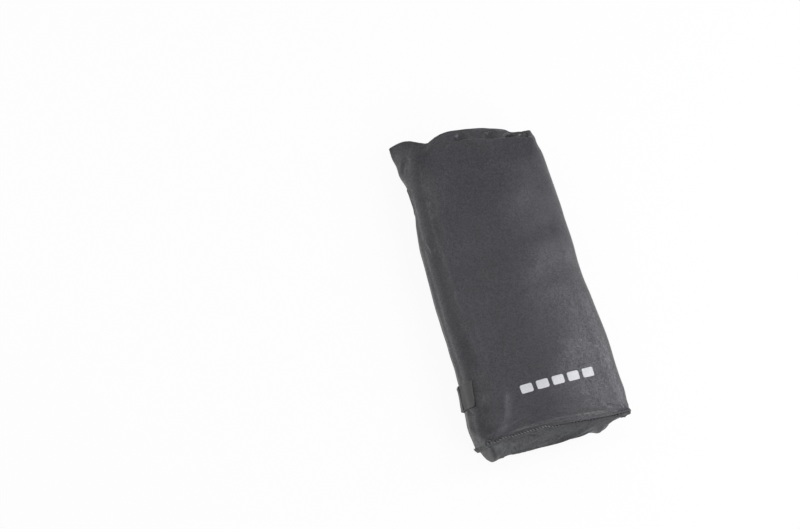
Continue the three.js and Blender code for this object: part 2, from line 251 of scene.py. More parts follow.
FINE = np.linspace(-1.5, 3.5, 1001)


def arc(heights, places):
    """Lengths round the outer face from the front left corner, in mm, at a grid of heights and places."""
    rows = []
    zero = int(np.argmin(np.abs(FINE)))
    for height in heights:
        run = section(min(max(height, 0.0), LENGTH), FINE)
        lengths = np.concatenate([[0], np.cumsum(np.linalg.norm(np.diff(run, axis=0), axis=1))])
        rows.append(np.interp(places, FINE, lengths - lengths[zero]))
    return np.array(rows)


def even_places(start, end, step):
    """Places from start to end that are evenly spaced round the sleeve."""
    lengths = arc([LENGTH / 2], FINE)[0]
    first, last = np.interp([start, end], FINE, lengths)
    count = int(round((last - first) / step))
    return np.interp(np.linspace(first, last, count + 1), lengths, FINE)


def fold(s, t, line, width, height, other=None, fade=0.3):
    """A ridge (or a valley, where the height is negative) along a line of points. Its second width is on the
    right of the line's direction, and it dies away at both ends."""
    line = np.array(line, float)
    lengths = np.linalg.norm(np.diff(line, axis=0), axis=1)
    total = lengths.sum()
    nearest = np.full(np.shape(s), 1e9)
    along = np.zeros(np.shape(s))
    side = np.zeros(np.shape(s))
    run = 0.0
    for a, b, length in zip(line[:-1], line[1:], lengths):
        d = (b - a) / length
        share = np.clip((s - a[0]) * d[0] + (t - a[1]) * d[1], 0, length)
        dx = s - a[0] - d[0] * share
        dy = t - a[1] - d[1] * share
        distance = np.hypot(dx, dy)
        closer = distance < nearest
        nearest = np.where(closer, distance, nearest)
        along = np.where(closer, (run + share) / total, along)
        side = np.where(closer, d[0] * dy - d[1] * dx, side)
        run += length
    widths = np.where(side >= 0, width, other or width)
    ends = smooth(along, 0, fade) * smooth(1 - along, 0, fade)
    return height * np.exp(-((nearest / widths) ** 2)) * ends


def waves(s, t, seed, size, count=14):
    """Soft irregular swells about as wide as the size given, between about -1 and 1."""
    rng = np.random.default_rng(seed)
    total = np.zeros(np.shape(s))
    for _ in range(count):
        angle = rng.uniform(0, 2 * math.pi)
        reach = 2 * math.pi / (size * rng.uniform(0.8, 1.8))
        phase = rng.uniform(0, 2 * math.pi)
        total = total + np.sin((s * math.cos(angle) + t * math.sin(angle)) * reach + phase)
    return total / math.sqrt(count)


# Folds of the outer cloth, as (line, width, height, second width), with s round the sleeve from the front
# left corner and t up it from the base seam
SOFT_FOLDS = [
    # the long soft ridge where the front turns down to the left side
    ([(6, 282), (3, 254), (2, 224), (5, 206), (8, 171), (7, 134), (6, 110), (7, 88), (11, 66), (15, 43)],
     4, 1.3, 5),
    # the flap at the mouth's left corner, a crease under it, and the strip between
    ([(-10, 293.5), (-17, 293), (-22.5, 290), (-25, 284), (-26, 276)], 3.2, -1.5, 3.2),
    ([(-14, 286), (-18, 282), (-19, 272), (-18, 262)], 3.5, 0.6, 5),
    ([(-38, 302), (-36, 292), (-33, 280), (-29, 266)], 3.5, 0.8, 3.5),
    # a small crease on the left side, half way up
    ([(-16, 215), (-12, 208), (-6, 196)], 1.6, -0.9, 3),
    ([(-12, 218), (-7, 206), (-1, 196)], 3.5, 0.7, 4),
    # the creases under the lower loop and the folds at the front left corner of the base
    ([(-23, 44), (-17, 38), (-9, 32)], 1.2, -1.5, 2.2),
    ([(-30, 30), (-18, 18), (-8, 6)], 5, 1.0, 6),
    ([(2, 8), (9, 12.5), (16, 17), (22, 25), (25, 38), (26, 58)], 4.8, 1.1, 5.2),
    ([(0, 18), (3, 30), (5, 42)], 3.5, -0.7, 3.5),
    ([(8, 5), (14, 7.5), (22, 9.5), (31, 12), (44, 15.5), (60, 18)], 3.0, -0.7, 3.6),
    ([(-6, 24), (-1, 16), (1, 6)], 4.0, -0.5, 4.0),
    # small creases at the front right corner of the base
    ([(122, 12.5), (127, 9.5), (132, 6.5), (138, 3)], 0.8, -0.9, 1.1),
    ([(126, 13), (132, 9.5), (140, 5)], 2.0, 0.4, 2.0),
    ([(139, 8), (142, 5), (145, 2)], 0.8, -0.6, 1.2),
]

# Hollows that gather the unpadded band at the mouth: the deepest place of each, how far it reaches to the
# left and to the right, and its depth. They lean to the left as they rise.
HOLLOWS = [(41, 6.5, 6.0, 4.0), (73, 5.5, 5.5, 4.8), (94, 3.6, 7.5, 11.5), (105, 2.2, 4.0, 7.0),
           (110, 2.5, 3.0, 5.0)]
HOLLOW_LEAN = 0.35
HOLLOW_LEVEL = 303
HOLLOW_FADE = 0.85
# The upper edge of the padding, as (s, t)
PAD_EDGE = [(0, 288), (12, 291.5), (23, 291.5), (34, 294.5), (39, 297), (50, 297.5), (65, 296), (75, 295),
            (90, 297.5), (99, 301), (109.5, 300.5), (125, 299), (160, 299)]
BAND_DROP = 1.2
BAND_RETURN = 1.0
FRONT_BAND = (26, 54, 108, 128)

# Swells along the two sides, as (height, middle, reach), and where round the sleeve they lie
RIGHT_SIDE = (120, 150, 175, 200)
RIGHT_SWELLS = [(1.8, 85, 36), (-2.4, 146, 36)]
LEFT_SIDE = (14, 34, 56, 75)
LEFT_SWELLS = [(1.8, 18, 15), (2.4, 282, 9), (-2.9, 250, 17)]
# Round swells, as (height, middle and reach up the sleeve, middle and reach round it): the low left corner is
# softened, and the front right corner of the base flares
ROUND_SWELLS = [(-1.5, 16, 20, -4, 8), (0.8, 0, 8, 147, 7)]
# Broad and small unevenness of the cloth, as (height, seed, size)
BROAD_WAVES = (0.35, 5, 60)
SMALL_WAVES = (0.22, 9, 22)
# The line drawn in by the seam's stitching, the fuller cloth above it, and the dip beside the mouth's right
# corner, as (height, middle, reach)
SEAM_PINCH = (-0.9, 3.6, 1.8)
SEAM_FULLNESS = (0.7, 10, 7)
SEAM_FULL_FROM = (35, 60, 112, 132)
MOUTH_DIP = (-1.5, 295, 8)
MOUTH_DIP_FROM = (118, 135, 175, 195)


def swell(t, height, middle, reach):
    return height * bell(t - middle, reach)


def sculpt(s, t, places):
    """How far the outer cloth stands off its plain form, in mm."""
    height, seed, size = BROAD_WAVES
    total = height * waves(s, t, seed, size) * smooth(t, 0, 30) * (1 - smooth(t, 270, 300))
    total = total + sum(swell(t, *row) for row in RIGHT_SWELLS) * between(s, *RIGHT_SIDE)
    total = total + sum(swell(t, *row) for row in LEFT_SWELLS) * between(-s, *LEFT_SIDE)
    for height, middle, reach, round_middle, round_reach in ROUND_SWELLS:
        total = total + swell(t, height, middle, reach) * bell(s - round_middle, round_reach)
    left_half = 1 - smooth(np.abs(places), 0.3, 0.6)
    share = through(CROWN_SHARE, t) * (1 - left_half) + through(LEFT_CROWN_SHARE, t) * left_half
    total = total + through(FRONT_CROWN, np.mod(places + 1, SIDES) - 1) * share
    total = total + swell(t, *SEAM_PINCH) * smooth(s, -12, 2)
    total = total + swell(t, *SEAM_FULLNESS) * between(s, *SEAM_FULL_FROM)
    height, seed, size = SMALL_WAVES
    total = total + height * waves(s, t, seed, size) * (1 - 0.65 * smooth(s, 0, 60))
    for line, width, height, other in SOFT_FOLDS:
        total = total + fold(s, t, line, width, height, other)
    # the pads end in a soft shoulder, and the unpadded band falls away above it
    edge = np.interp(s, *np.array(PAD_EDGE, float).T)
    band = BAND_DROP * smooth(t - edge, -0.3, 1.2) - BAND_RETURN * smooth(t - edge, 4.5, 11)
    total = total - band * between(s, *FRONT_BAND)
    total = total + swell(t, *MOUTH_DIP) * between(s, *MOUTH_DIP_FROM)
    sunk = smooth(t - edge, -0.2, 2.0) * (1 - HOLLOW_FADE * smooth(t, HOLLOW_LEVEL, LENGTH - 1))
    for middle, left_reach, right_reach, depth in HOLLOWS:
        leaning = s - middle - HOLLOW_LEAN * (HOLLOW_LEVEL - t)
        total = total - depth * sunk * bell(leaning, np.where(leaning < 0, left_reach, right_reach))
    return total


def sculpted(heights, places, inset=0.0):
    """A grid of points on the wall with its folds, and the cloth coordinates (s, t) of each."""
    s = arc(heights, places)
    t = np.repeat(np.asarray(heights, float)[:, None], len(places), axis=1)
    off = sculpt(s, t, np.broadcast_to(places, s.shape))
    points = wall(heights, places, inset) + outward(heights, places) * off[..., None]
    return points, np.dstack([s, t])


def make(name, points, faces, cloth=None, material=None, replaces=(), flat=False):
    """A mesh object in the row's frame that rides on the part. The cloth coordinates, in mm, become its UV
    map."""
    points = np.array(points, float).reshape(-1, 3)
    points[:, 2] = np.maximum(points[:, 2], 0)
    mesh = bpy.data.meshes.new(name)
    mesh.from_pydata(in_frame(points).tolist(), [], [list(map(int, face)) for face in faces])
    if cloth is not None:
        layer = mesh.uv_layers.new(name="cloth")
        index = np.zeros(len(mesh.loops), int)
        mesh.loops.foreach_get("vertex_index", index)
        layer.data.foreach_set("uv", np.asarray(cloth, float).reshape(-1, 2)[index].ravel())
    if not flat:
        mesh.shade_smooth()
    mesh.validate()
    piece = bpy.data.objects.new(name, mesh)
    bpy.context.scene.collection.objects.link(piece)
    if material:
        mesh.materials.append(material)
    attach(piece, "root")
    if replaces:
        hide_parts(*replaces)
    return piece


def grid_faces(rows, columns, closed_rows=False, closed_columns=False, first=0):
    """The four-sided faces of a grid of points, facing outward on the sleeve."""
    i, j = np.meshgrid(np.arange(rows if closed_rows else rows - 1),
                       np.arange(columns if closed_columns else columns - 1), indexing="ij")
    below, above = i * columns, ((i + 1) % rows) * columns
    right = (j + 1) % columns
    quads = np.stack([below + j, below + right, above + right, above + j], axis=-1) + first
    return quads.reshape(-1, 4)


def ring_faces(grid):
    """Faces of a closed skin: the grid's rows run up the outside, over the edge and down the inside."""
    return grid_faces(*grid.shape[:2], closed_rows=True, closed_columns=True)


def strip_faces(rows, columns):
    """Faces of a closed strip: the rows' first half is its face, the other half its back, in reverse."""
    faces = list(grid_faces(rows, columns, closed_rows=True))
    for k in range(rows // 2 - 1):
        a, b, c, d = k, k + 1, rows - 2 - k, rows - 1 - k
        faces.append([a * columns, b * columns, c * columns, d * columns])
        last = columns - 1
        faces.append([d * columns + last, c * columns + last, b * columns + last, a * columns + last])
    return faces


def stepped(*runs):
    """One list of numbers from several runs, each (start, end, step), without repeats."""
    found = []
    for start, end, step in runs:
        count = max(int(round(abs(end - start) / step)), 1)
        found += [start + (end - start) * k / count for k in range(count)]
    return found + [runs[-1][1]]


# Materials. Patterns follow the cloth coordinates, which are in millimetres.
def node(tree, kind, **settings):
    found = tree.nodes.new(kind)
    for name, value in settings.items():
        if hasattr(found, name):
            setattr(found, name, value)
        else:
            found.inputs[name.replace("_", " ")].default_value = value
    return found


def join(tree, *ends):
    for source, target in ends:
        tree.links.new(source, target)


def ramp(tree, stops):
    """A ramp of greys or colours: (place, value) pairs."""
    found = tree.nodes.new("ShaderNodeValToRGB")
    elements = found.color_ramp.elements
    while len(elements) < len(stops):
        elements.new(0.5)
    for element, (place, value) in zip(elements, stops):
        element.position = place
        element.color = (*((value,) * 3 if isinstance(value, (int, float)) else value), 1)
    return found


# Sizes of the cloth's grain, specks and mottling, in mm
GRAIN_SIZE = 1.9
SPECK_SIZE = 1.0
MOTTLE_SIZE = 26.0


def fabric(name, colour, roughness, sheen, thread=0.8, weave=0.012, grain=0.12, mottle=0.05, speck=0.16,
           shine=0.07, specular=0.5):
    """Woven cloth: two sets of fine threads, an irregular grain, specks, slight mottling and a sheen."""
    material = bpy.data.materials.new(name)
    material.use_nodes = True
    tree = material.node_tree
    tree.nodes.clear()
    out = node(tree, "ShaderNodeOutputMaterial")
    shader = node(tree, "ShaderNodeBsdfPrincipled")
    shader.inputs["Roughness"].default_value = roughness
    shader.inputs["Sheen Weight"].default_value = sheen
    shader.inputs["Sheen Roughness"].default_value = 0.5
    shader.inputs["Sheen Tint"].default_value = (0.95, 0.96, 1.0, 1)
    shader.inputs["Specular IOR Level"].default_value = specular
    join(tree, (shader.outputs[0], out.inputs[0]))
    uv = node(tree, "ShaderNodeUVMap", uv_map="cloth")
    split = node(tree, "ShaderNodeSeparateXYZ")
    join(tree, (uv.outputs[0], split.inputs[0]))

    # threads: the warp passes over the weft and under it by turns
    def threads(axis):
        half = node(tree, "ShaderNodeMath", operation="MULTIPLY")
        half.inputs[1].default_value = 2 * math.pi / thread
        wave = node(tree, "ShaderNodeMath", operation="SINE")
        join(tree, (split.outputs[axis], half.inputs[0]), (half.outputs[0], wave.inputs[0]))
        return wave
    warp = threads(0)
    weft = threads(1)
    cross = node(tree, "ShaderNodeMath", operation="MULTIPLY")
    join(tree, (warp.outputs[0], cross.inputs[0]), (weft.outputs[0], cross.inputs[1]))

    def noise(size, detail):
        found = node(tree, "ShaderNodeTexNoise", noise_dimensions="2D")
        found.inputs["Scale"].default_value = 1 / size
        found.inputs["Detail"].default_value = detail
        found.inputs["Roughness"].default_value = 0.5
        join(tree, (uv.outputs[0], found.inputs["Vector"]))
        return found
    fine = noise(GRAIN_SIZE, 1.0)
    cells = node(tree, "ShaderNodeTexVoronoi", voronoi_dimensions="2D")
    cells.inputs["Scale"].default_value = 1 / SPECK_SIZE
    cells.inputs["Randomness"].default_value = 1.0
    speckle = node(tree, "ShaderNodeSeparateColor")
    join(tree, (uv.outputs[0], cells.inputs["Vector"]), (cells.outputs["Color"], speckle.inputs[0]))
    soft = noise(MOTTLE_SIZE, 2.0)

    # height of the cloth's surface
    grainy = node(tree, "ShaderNodeMath", operation="MULTIPLY_ADD")
    grainy.inputs[1].default_value = grain
    join(tree, (fine.outputs["Fac"], grainy.inputs[0]))
    woven = node(tree, "ShaderNodeMath", operation="MULTIPLY")
    woven.inputs[1].default_value = weave
    join(tree, (cross.outputs[0], woven.inputs[0]), (woven.outputs[0], grainy.inputs[2]))
    bump = node(tree, "ShaderNodeBump")
    bump.inputs["Strength"].default_value = 1.0
    bump.inputs["Distance"].default_value = MM
    join(tree, (grainy.outputs[0], bump.inputs["Height"]), (bump.outputs[0], shader.inputs["Normal"]))

    # colour: specks and broad mottling
    light = tuple(min(channel * (1 + speck), 1) for channel in colour)
    dark = tuple(channel * (1 - speck) for channel in colour)
    specks = ramp(tree, [(0.0, dark), (0.5, colour), (1.0, light)])
    join(tree, (speckle.outputs[0], specks.inputs[0]))
    shade = ramp(tree, [(0.3, 1 - mottle), (0.7, 1 + mottle)])
    join(tree, (soft.outputs["Fac"], shade.inputs[0]))
    mixed = node(tree, "ShaderNodeMix", data_type="RGBA", blend_type="MULTIPLY")
    mixed.inputs[0].default_value = 1.0
    join(tree, (specks.outputs[0], mixed.inputs[6]), (shade.outputs[0], mixed.inputs[7]))
    join(tree, (mixed.outputs[2], shader.inputs["Base Color"]))
    rough = ramp(tree, [(0.0, max(roughness - shine, 0)), (1.0, min(roughness + shine, 1))])
    join(tree, (speckle.outputs[1], rough.inputs[0]), (rough.outputs[0], shader.inputs["Roughness"]))
    return material


OUTER = (0.0225, 0.0215, 0.0270)
outer_cloth = fabric("outer_cloth", OUTER, 0.47, 0.0, grain=0.03, speck=0.55, shine=0.16, specular=0.68)
base_cloth = fabric("base_cloth", (0.067, 0.0675, 0.070), 0.48, 0.0, grain=0.04, speck=0.3, specular=0.24)
lining_cloth = fabric("lining_cloth", (0.035, 0.035, 0.038), 0.6, 0.15, thread=0.5, weave=0.006, grain=0.05)
tape_cloth = fabric("binding_tape", (0.058, 0.058, 0.061), 0.55, 0.0, thread=1.0, weave=0.04, grain=0.08,
                    specular=0.3)
webbing_cloth = fabric("webbing", (0.060, 0.060, 0.055), 0.6, 0.15, thread=1.3, weave=0.06, grain=0.06,
                       speck=0.1)
foam_skin = fabric("padding", (0.3, 0.3, 0.31), 0.9, 0.0, thread=2.0, weave=0.02, grain=0.5, speck=0.1)
thread_stuff = fabric("thread", (0.24, 0.24, 0.25), 0.5, 0.0, thread=0.4, weave=0.01, grain=0.02, speck=0.05)
hem_thread = fabric("hem_thread", (0.09, 0.09, 0.095), 0.5, 0.1, thread=0.4, weave=0.01, grain=0.02,
                    speck=0.05)
print_ink = fabric("print", (0.56, 0.56, 0.57), 0.5, 0.0, weave=0.01, grain=0.06, speck=0.06)

# The sleeve: outer cloth all round, closer columns on the front and left
CLOSE = 1.15
MEDIUM = 1.8
WIDE = 2.6
ring_places = np.concatenate([even_places(-1, 1, CLOSE)[:-1], even_places(1, 2, MEDIUM)[:-1],
                              even_places(2, 3, WIDE)[:-1]])
outer_rows = stepped((0.0, 34.0, 0.9), (34.0, 288.0, 1.75), (288.0, LENGTH, 0.55))
edge_rows = [(LENGTH + 0.5, 0.25), (LENGTH + 0.75, 1.0), (LENGTH + 0.5, 1.75)]
inner_rows = [(h, 2.0) for h in stepped((LENGTH, 305.2, 1.2))] + [(304.6, 1.0)]
inner_rows += [(h, 1.0) for h in stepped((303.0, 290.0, 2.6), (290.0, 0.6, 6.0))]
sleeve_path = [(h, 0.0) for h in outer_rows] + edge_rows + inner_rows
sleeve_heights = np.array([h for h, _ in sleeve_path])
sleeve_insets = np.array([inset for _, inset in sleeve_path])
sleeve_grid, sleeve_cloth = sculpted(sleeve_heights, ring_places, sleeve_insets)
make("sleeve", sleeve_grid, ring_faces(sleeve_grid), sleeve_cloth, outer_cloth,
     ["outer_wrap", "back_panel"])


# The pads inside
PAD_COLUMNS = 40
PAD_STEP = 5.0


def pad(name, side, node_name):
    places = np.linspace(side + 0.02, side + 0.98, PAD_COLUMNS)
    heights = stepped((FOAM_BOTTOM, FOAM_TOP - 1, PAD_STEP))
    path = [(h, FOAM_OUTSIDE + 1) for h in heights] + [(h, FOAM_INSIDE) for h in heights[::-1]]
    grid, cloth = sculpted(np.array([h for h, _ in path]), places, np.array([i for _, i in path]))
    piece = make(name, grid, strip_faces(len(path), len(places)), cloth, foam_skin, [node_name])
    return piece


pad("front_pad", 0, "front_foam")
pad("right_pad", 1, "right_foam")
pad("back_pad", 2, "back_foam")
pad("left_pad", 3, "left_foam")


# The base: a soft panel across the foot, pushed out between its two hips and pulled into folds
BASE_PUSH = 7.6
BASE_PUSHES = [(-HALF_WIDTH, BASE_PUSH + 1.8), (-30, BASE_PUSH + 1.2), (0, BASE_PUSH),
               (HALF_WIDTH, BASE_PUSH)]
TIP_PUSH = 2.5
LEFT_TIP_PUSH = 3.5
TIP_SPAN = 118.0
TIP_OFFSET = -8.0
TIP_REACH = 13.0
SEAM_HOLD = 9.5
LEFT_SEAM_HOLD = 7.0
BASE_MIDDLE = (DEPTH - BASE_FRONT_TURN + BASE_BACK_TURN) / 2

# Folds of the base in (x, z)
BASE_FOLDS = [
    ([(-70, 34), (-57, 39), (-34, 43), (-18, 47)], 1.4, 2.7, 2.8),
    ([(-62, 22), (-40, 30), (-11, 35), (4, 41), (16, 44)], 1.4, 2.8, 3.0),
    ([(-44, 14), (-16, 22), (4, 30), (22, 41), (42, 49)], 1.4, 2.6, 3.0),
    ([(-20, 10), (6, 18), (24, 28), (40, 42)], 1.6, 1.8, 3.0),
    ([(-60, 33), (-40, 37), (-18, 41)], 2.4, -1.4, 2.4),
    ([(-52, 20), (-24, 27), (0, 34), (20, 46)], 2.4, -1.4, 2.4),
    ([(-63, 43), (-54, 45), (-40, 46), (-20, 48)], 3.5, -4.0, 3.5),
    ([(-71, 50), (-69, 43), (-67.5, 31), (-67, 14)], 2.6, 1.6, 3.0),
    ([(-74, 52), (-73.6, 30), (-73, -6)], 2.0, -4.5, 1.6),
    ([(45, 50), (45, 40), (44, 28), (43, 14)], 1.8, 1.3, 3.0),
    ([(55, 48), (57, 36), (57, 24), (55, 10)], 6.5, -4.0, 6.5),
]


def base_point(x, z):
    """How far the base is pushed out, at a place across it, with its folds."""
    beyond = np.maximum(np.abs(x - TIP_OFFSET) - TIP_SPAN / 2, 0)
    across = bell(beyond, TIP_REACH)
    fullness = 2 + 2 * smooth(-x, 50, 70)
    up = np.maximum(1 - (np.abs(z - BASE_MIDDLE) / (BASE_MIDDLE - BASE_BACK_TURN)) ** fullness, 0)
    tips = bell(np.abs(x - TIP_OFFSET) - TIP_SPAN / 2, TIP_REACH)
    from_side = np.clip((HALF_WIDTH - np.abs(x)) / np.where(x < 0, LEFT_SEAM_HOLD, SEAM_HOLD), 0, 1)
    push = through(BASE_PUSHES, x)
    tip = np.where(x < 0, LEFT_TIP_PUSH, TIP_PUSH)
    plain = (push * across + tip * tips) * up * np.sin(math.pi / 2 * from_side)
    folds = sum(fold(x, z, line, width, height, other) for line, width, height, other in BASE_FOLDS)
    inner = smooth(z, 3, 9) * smooth(DEPTH - z, 2, 8)
    return plain + folds * inner


def base_rings(height, inset, shares, places):
    foot = section(0.0, places, inset)
    rise = through(BASE_RISE, np.mod(places, SIDES))
    rings = []
    for share in shares:
        x = foot[:, 0] * (1 - share)
        z = foot[:, 1] + (BASE_MIDDLE - foot[:, 1]) * share
        y = height + rise * (1 - share) - base_point(x, z)
        rings.append(np.column_stack([x, y, z]))
    return np.array(rings)


BASE_TOP = -0.3
BASE_UNDER = -1.3
BASE_COLUMN = 1.5
BASE_RINGS = 68
RING_CLOSENESS = 1.15


def all_round(step):
    """Places all round the sleeve, with a whole number of even steps on each side."""
    return np.concatenate([even_places(k, k + 1, step)[:-1] for k in range(-1, 3)])


base_places = all_round(BASE_COLUMN)
ring_shares = (np.arange(BASE_RINGS + 1) / BASE_RINGS) ** RING_CLOSENESS
under = base_rings(BASE_UNDER, 0.0, ring_shares, base_places)
above = base_rings(BASE_TOP, 0.0, ring_shares[::-1], base_places)
base_grid = np.concatenate([above, under])
base_cloth_at = np.dstack([base_grid[..., 0], base_grid[..., 2]])
make("base", base_grid, ring_faces(base_grid), base_cloth_at, base_cloth, ["base_panel"])


# The seam round the base: a raised lip of folded tape, fuller at the front left corner, and tucked in at two
# other corners and along the left side
LIP_TURNS = 12
LIP_STEP = 1.0
LIP_OUT = 1.0
LIP_BELOW = 0.6
LIP_HALF = 1.9
LIP_LEFT_TUCK = 1.4


def ear(places, at, reach, spread=0.07):
    """A bump round one corner."""
    return reach * bell(np.mod(places - at + 2, SIDES) - 2, spread)


lip_places = all_round(LIP_STEP)
lip_s = arc([0.0], lip_places)[0]
foot_points = wall([0.0], lip_places)[0]
foot_out = outward([0.0], lip_places)[0]
lip_out = LIP_OUT + ear(lip_places, 0.0, 2.0) - ear(lip_places, 1.0, 2.8, 0.3) - ear(lip_places, 3.0, 1.0)
lip_out = lip_out - LIP_LEFT_TUCK * np.where(lip_places < 0, np.sin(-math.pi * lip_places), 0)
lip_out = lip_out + 0.35 * waves(lip_s, lip_s * 0, 21, 9)
lip_drop = -LIP_BELOW + 0.5 * waves(lip_s, lip_s * 0, 22, 14)
lip_slim = LIP_HALF - ear(lip_places, 1.0, 0.64)
lip_wide = lip_slim + 0.25 * waves(lip_s, lip_s * 0, 23, 6) + ear(lip_places, 0.0, 0.48)
lip_tall = lip_slim + 0.3 * waves(lip_s, lip_s * 0, 24, 5)
ALONG = np.array([0, 1.0, 0])
lip_rows = []
for k in range(LIP_TURNS):
    turn = 2 * math.pi * k / LIP_TURNS
    off = lip_out + lip_wide * math.cos(turn) - 0.4
    rise = lip_drop + lip_tall * math.sin(turn)
    lip_rows.append(foot_points + foot_out * off[:, None] + ALONG * rise[:, None])
lip_grid = np.array(lip_rows)
lip_round = np.tile(np.arange(LIP_TURNS)[:, None] * 0.9, (1, len(lip_s)))
lip_cloth = np.dstack([np.tile(lip_s, (LIP_TURNS, 1)), lip_round])
make("base_seam", lip_grid, ring_faces(lip_grid), lip_cloth, tape_cloth, ["base_binding"])


def stitches(name, paths, radius, turns=6, material=None):
    """Short rounded threads along some paths, as one piece."""
    points, faces, cloth = [], [], []
    for path in paths:
        path = np.array(path, float)
        first = len(points)
        count = len(path)
        for k in range(count):
            ahead = unit(path[min(k + 1, count - 1)] - path[max(k - 1, 0)])
            side = unit(np.cross(ahead, [0.3, 0.2, 1.0]))
            lift = np.cross(side, ahead)
            size = radius * (0.35 if k in (0, count - 1) else 1.0)
            for turn in range(turns):
                angle = 2 * math.pi * turn / turns
                points.append(path[k] + (side * math.cos(angle) + lift * math.sin(angle)) * size)
                cloth.append((turn * 0.3, k * 0.7))
        for k in range(count - 1):
            for turn in range(turns):
                a = first + k * turns + turn
                b = first + k * turns + (turn + 1) % turns
                faces.append([a, b, b + turns, a + turns])
        faces.append([first + turn for turn in range(turns)][::-1])
        faces.append([first + (count - 1) * turns + turn for turn in range(turns)])
    return make(name, np.array(points), faces, np.array(cloth), material or thread_stuff)


def place_at(s, height):
    """The place round the sleeve at one s."""
    return float(np.interp(s, arc([height], FINE)[0], FINE))


def wall_line(height, start, end, step):
    """Points along the sculpted outer face at one height, and the outward direction at each."""
    places = even_places(start, end, step)
    heights = np.array([height])
    grid, _ = sculpted(heights, places)
    return grid[0], outward(heights, places)[0]


def run_lengths(points):
    """The length of a line of points up to each of them."""
    return np.concatenate([[0], np.cumsum(np.linalg.norm(np.diff(points, axis=0), axis=1))])


def read_off(at, lengths, values):
    """Points or directions at some lengths along a line."""
    return np.column_stack([np.interp(at, lengths, values[:, axis]) for axis in range(3)])


def stitch_row(points, out, stitch, pitch, lift, sink):
    """Stitches along a line of points: each rises in its middle and dives into the cloth at its ends."""
    lengths = run_lengths(points)
    share = np.linspace(0, 1, 5)
    rise = -sink + (sink + lift) * np.sin(math.pi * share)
    paths = []
    for k in range(int(lengths[-1] // pitch)):
        at = k * pitch + 0.4 + share * stitch
        paths.append(read_off(at, lengths, points) + read_off(at, lengths, out) * rise[:, None])
    return paths


# The hem's stitching round the mouth, and the stitching along the base seam
HEM_WIDTH = 3.0
hem_points, hem_out = wall_line(LENGTH - HEM_WIDTH, -1, 3, 0.5)
hem_paths = stitch_row(hem_points, hem_out, stitch=1.5, pitch=2.7, lift=0.1, sink=0.25)
stitches("hem_stitches", hem_paths, 0.2, material=hem_thread)

SEAM_PITCH = 3.2
SEAM_STITCH = 1.7
seam_line = foot_points + foot_out * (lip_out + 1.5)[:, None] + ALONG * (lip_drop + 1.3)[:, None]
seam_lengths = run_lengths(seam_line)
seam_paths = []
for k in range(int(seam_lengths[-1] // SEAM_PITCH)):
    at = k * SEAM_PITCH + np.linspace(0, SEAM_STITCH, 5)
    path = read_off(at, seam_lengths, seam_line) + np.linspace(0.7, -0.9, 5)[:, None] * ALONG
    seam_paths.append(path + read_off(at, seam_lengths, foot_out) * np.linspace(-0.45, 0.35, 5)[:, None])
stitches("base_stitches", seam_paths, 0.29)


# The tape's end, curled up at the front left corner
CURL_RADIUS = 2.3
corner = wall([0.0], np.array([-0.02]))[0, 0]
turns_round = np.linspace(-0.3, 1.75 * math.pi, 22)
shrink = np.linspace(1.15, 0.75, 22)
curl_path = corner + np.array([-0.8, 1.9, 2.6]) + np.column_stack([
    CURL_RADIUS * shrink * np.cos(turns_round), CURL_RADIUS * shrink * np.sin(turns_round),
    0.6 * shrink * np.cos(turns_round) + 0.4 * np.sin(turns_round)])
stitches("seam_curl", [curl_path], 1.05, 8, tape_cloth)

# Frayed threads that stand out beside the upper loop
rng = np.random.default_rng(51)
frayed = []
for height in (263.5, 262.0, 260.5, 258.0, 253.0, 247.0, 240.5, 239.0):
    places = np.array([place_at(-19.0 - rng.uniform(0, 3), height)])
    root = sculpted(np.array([height]), places)[0][0, 0]
    out = outward(np.array([height]), places)[0, 0]
    ahead = unit(out + np.array([0, rng.uniform(-0.7, 0.5), rng.uniform(-0.2, 0.5)]))
    bend = np.array([0, rng.uniform(-0.5, 0.5), 0])
    run = np.linspace(-0.4, rng.uniform(1.2, 2.4), 6)
    frayed.append(root + ahead * run[:, None] + bend * (np.maximum(run, 0) ** 2 / 3)[:, None])
stitches("frayed_threads", frayed, 0.17, 5, webbing_cloth)


# The webbing loops on the left side
LOOP_COLUMNS = 46
LOOP_ROWS = 27


def loop(name, node_name, middle, start, end, seed, curl=0.2, width=25.0, thickness=0.7, off=0.3, lean=0.0):
    """A strip laid across the left side, from s = start to s = end, with its edges curled up a little."""
    shares = np.linspace(0, 1, LOOP_COLUMNS)
    across = np.linspace(-width / 2, width / 2, LOOP_ROWS)
    path = [(v, 1.0) for v in across] + [(v, 0.0) for v in across[::-1]]
    rows, cloth = [], []
    for v, top in path:
        s = start + (end - start) * shares + lean * v / width
        height = middle + v
        places = np.interp(s, arc([height], FINE)[0], FINE)
        grid, _ = sculpted(np.array([height]), places)
        out = outward(np.array([height]), places)[0]
        stand = off + curl * bell(abs(v) - width / 2, 1.6)
        stand = stand + 0.25 * waves(s, np.full(LOOP_COLUMNS, v), seed, 15)
        flatter = 1 - 0.35 * bell(abs(v) - width / 2, 0.5)
        rows.append(grid[0] + out * (stand + top * thickness * flatter)[:, None])
        cloth.append(np.column_stack([s, np.full(LOOP_COLUMNS, height)]))
    grid = np.array(rows)
    return make(name, grid, strip_faces(len(path), LOOP_COLUMNS), np.array(cloth), webbing_cloth,
                [node_name] if node_name else ())


LOWER = 56.0
UPPER = LENGTH - 56.0
loop("lower_loop", "lower_webbing_loop", LOWER, -50.0, -4.5, 31, curl=0.5, thickness=1.2, lean=3.5)
loop("lower_loop_turn", None, LOWER, -50.0, -26.5, 32, curl=0.4, off=1.5, width=24.0, thickness=0.9)
loop("upper_loop", "upper_webbing_loop", UPPER, -50.0, -30.0, 33, off=0.1)


